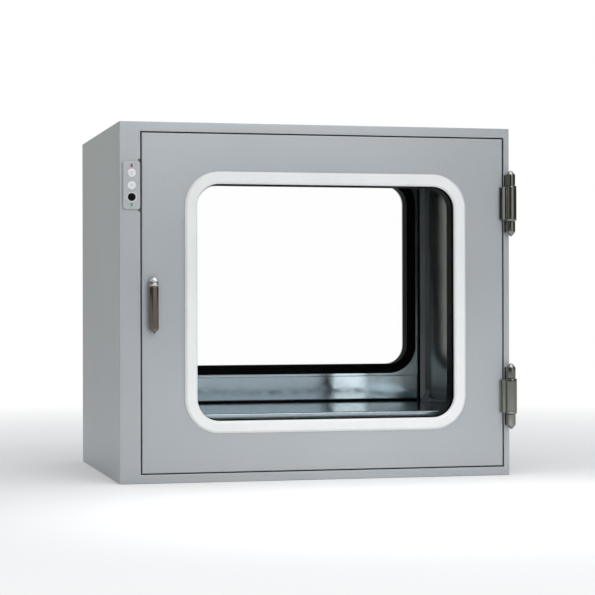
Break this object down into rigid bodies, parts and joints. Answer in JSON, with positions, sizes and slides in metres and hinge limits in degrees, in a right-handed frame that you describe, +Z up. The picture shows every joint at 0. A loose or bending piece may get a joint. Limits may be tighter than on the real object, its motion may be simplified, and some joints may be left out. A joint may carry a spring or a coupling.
{
  "type": "cleanroom pass box",
  "caption": "Static cleanroom pass box: a stainless transfer chamber between two windowed, interlocked doors on barrel hinges, with lever handles and a button panel.",
  "frame": {"origin": "middle of the base, where the cabinet rests", "axes": "+Z up, -Y out of the front face, +X towards the front doors' hinge side"},
  "size_m": [0.701, 0.524, 0.6],
  "materials": {
    "satin_steel": "satin stainless sheet, blue-grey",
    "mirror_steel": "mirror-polished stainless sheet",
    "plain_steel": "zinc-plated steel",
    "chrome": "polished chrome on die-cast zinc",
    "black_rubber": "black EPDM rubber, satin",
    "white_trim": "white moulded surround, satin",
    "grey_plastic": "light grey moulded plastic",
    "pale_plastic": "pale grey ring",
    "white_plastic": "white moulded plastic",
    "black_plastic": "black moulded plastic",
    "red_lens": "red indicator lens",
    "green_lens": "green indicator lens",
    "circuit_board": "green circuit board",
    "aluminium_case": "pressed aluminium case",
    "clear_glass": "clear toughened glass",
    "quartz_lamp": "clear quartz tube with white caps"
  },
  "bodies": {
    "cabinet": {"left_side_panel": "satin_steel", "right_side_panel": "satin_steel", "roof_panel": "satin_steel", "base_plate": "satin_steel", "front_frame": "satin_steel", "rear_frame": "satin_steel", "front_bulkhead": "satin_steel", "rear_bulkhead": "satin_steel", "front_door_seal": "black_rubber", "rear_door_seal": "black_rubber", "chamber_floor": "mirror_steel", "chamber_left_wall": "mirror_steel", "chamber_right_wall": "mirror_steel", "chamber_ceiling": "mirror_steel", "floor_coves": "mirror_steel", "sill_edgings": "black_rubber", "front_hinge_knuckles": "chrome", "rear_hinge_knuckles": "chrome", "front_control_housing": "grey_plastic", "rear_control_housing": "grey_plastic", "release_rings": "pale_plastic", "red_indicators": "red_lens", "green_indicators": "green_lens", "switch_boards": "circuit_board", "interlock_magnets": "plain_steel", "interlock_controller": "black_plastic", "lamp_ballast": "aluminium_case", "uv_lamp": "quartz_lamp", "lamp_holders": "white_plastic", "cable_gland": "black_plastic"},
    "front_door": {"front_door_skin": "satin_steel", "front_door_inner_pan": "mirror_steel", "front_window_glass": "clear_glass", "front_window_trim": "white_trim", "front_window_gasket": "black_rubber", "front_hinge_sleeves": "chrome", "front_latch_plate": "plain_steel", "front_armature_plate": "plain_steel"},
    "front_lever": {"front_lever": "chrome", "front_latch_tongue": "plain_steel"},
    "front_lamp_button": {"front_lamp_button": "white_plastic"},
    "front_uv_button": {"front_uv_button": "white_plastic"},
    "front_release_button": {"front_release_button": "black_plastic"},
    "rear_door": {"rear_door_skin": "satin_steel", "rear_door_inner_pan": "mirror_steel", "rear_window_glass": "clear_glass", "rear_window_trim": "white_trim", "rear_window_gasket": "black_rubber", "rear_hinge_sleeves": "chrome", "rear_latch_plate": "plain_steel", "rear_armature_plate": "plain_steel"},
    "rear_lever": {"rear_lever": "chrome", "rear_latch_tongue": "plain_steel"},
    "rear_lamp_button": {"rear_lamp_button": "white_plastic"},
    "rear_uv_button": {"rear_uv_button": "white_plastic"},
    "rear_release_button": {"rear_release_button": "black_plastic"}
  },
  "joints": [
    {"name": "front_door_hinge", "type": "hinge", "parent": "cabinet", "child": "front_door", "pos_m": [0.339, -0.252, 0.3], "axis": [0, 0, 1], "range_deg": [0, 120]},
    {"name": "front_lever_turn", "type": "hinge", "parent": "front_door", "child": "front_lever", "pos_m": [-0.285, -0.24, 0.331], "axis": [0, -1, 0], "range_deg": [0, 90]},
    {"name": "front_lamp_press", "type": "slide", "parent": "cabinet", "child": "front_lamp_button", "axis": [0, 1, 0], "range_m": [0, 0.0015], "stiffness_N_per_m": 800, "springref_m": -0.0005},
    {"name": "front_uv_press", "type": "slide", "parent": "cabinet", "child": "front_uv_button", "axis": [0, 1, 0], "range_m": [0, 0.0015], "stiffness_N_per_m": 800, "springref_m": -0.0005},
    {"name": "front_release_press", "type": "slide", "parent": "cabinet", "child": "front_release_button", "axis": [0, 1, 0], "range_m": [0, 0.0015], "stiffness_N_per_m": 800, "springref_m": -0.0005},
    {"name": "rear_door_hinge", "type": "hinge", "parent": "cabinet", "child": "rear_door", "pos_m": [0.339, 0.252, 0.3], "axis": [0, 0, -1], "range_deg": [0, 120]},
    {"name": "rear_lever_turn", "type": "hinge", "parent": "rear_door", "child": "rear_lever", "pos_m": [-0.285, 0.24, 0.331], "axis": [0, -1, 0], "range_deg": [0, 90]},
    {"name": "rear_lamp_press", "type": "slide", "parent": "cabinet", "child": "rear_lamp_button", "axis": [0, -1, 0], "range_m": [0, 0.0015], "stiffness_N_per_m": 800, "springref_m": -0.0005},
    {"name": "rear_uv_press", "type": "slide", "parent": "cabinet", "child": "rear_uv_button", "axis": [0, -1, 0], "range_m": [0, 0.0015], "stiffness_N_per_m": 800, "springref_m": -0.0005},
    {"name": "rear_release_press", "type": "slide", "parent": "cabinet", "child": "rear_release_button", "axis": [0, -1, 0], "range_m": [0, 0.0015], "stiffness_N_per_m": 800, "springref_m": -0.0005}
  ]
}
